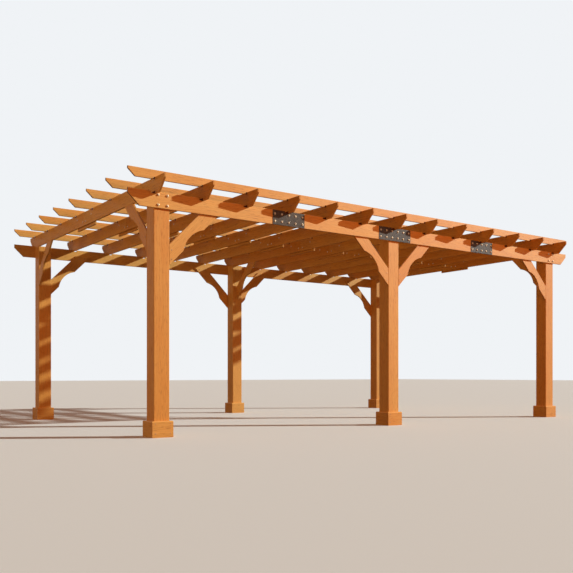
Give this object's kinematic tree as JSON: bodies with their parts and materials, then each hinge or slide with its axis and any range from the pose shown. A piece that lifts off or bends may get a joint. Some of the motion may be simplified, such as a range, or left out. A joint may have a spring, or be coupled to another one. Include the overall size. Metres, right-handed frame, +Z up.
{
  "type": "wooden pergola",
  "caption": "Free-standing cedar pergola with skirted posts, curved knee braces, notched headers and an open roof of rafters and purlins.",
  "frame": {"origin": "on the ground in the middle of the six posts", "axes": "+X along the headers, to the right as seen from the front; +Y from the front row of posts to the back row; +Z up"},
  "size_m": [6.096, 3.752, 2.294],
  "materials": {
    "cedar": "oiled, satin",
    "plate_steel": "dark bronze, speckled"
  },
  "bodies": {
    "root": {"post_front_left": "cedar", "skirt_front_left": "cedar", "braces_front_left": "cedar", "post_front_middle": "cedar", "skirt_front_middle": "cedar", "braces_front_middle": "cedar", "post_front_right": "cedar", "skirt_front_right": "cedar", "braces_front_right": "cedar", "header_front": "cedar", "header_plates_front": "plate_steel", "post_back_left": "cedar", "skirt_back_left": "cedar", "braces_back_left": "cedar", "post_back_middle": "cedar", "skirt_back_middle": "cedar", "braces_back_middle": "cedar", "post_back_right": "cedar", "skirt_back_right": "cedar", "braces_back_right": "cedar", "header_back": "cedar", "header_plates_back": "plate_steel", "rafter_01": "cedar", "rafter_02": "cedar", "rafter_03": "cedar", "rafter_04": "cedar", "rafter_05": "cedar", "rafter_06": "cedar", "rafter_07": "cedar", "rafter_08": "cedar", "rafter_09": "cedar", "rafter_10": "cedar", "rafter_11": "cedar", "rafter_12": "cedar", "rafter_13": "cedar", "rafter_splices": "cedar", "purlin_1": "cedar", "purlin_2": "cedar", "purlin_3": "cedar", "purlin_4": "cedar", "purlin_5": "cedar", "purlin_6": "cedar", "purlin_7": "cedar", "purlin_8": "cedar"}
  },
  "joints": []
}
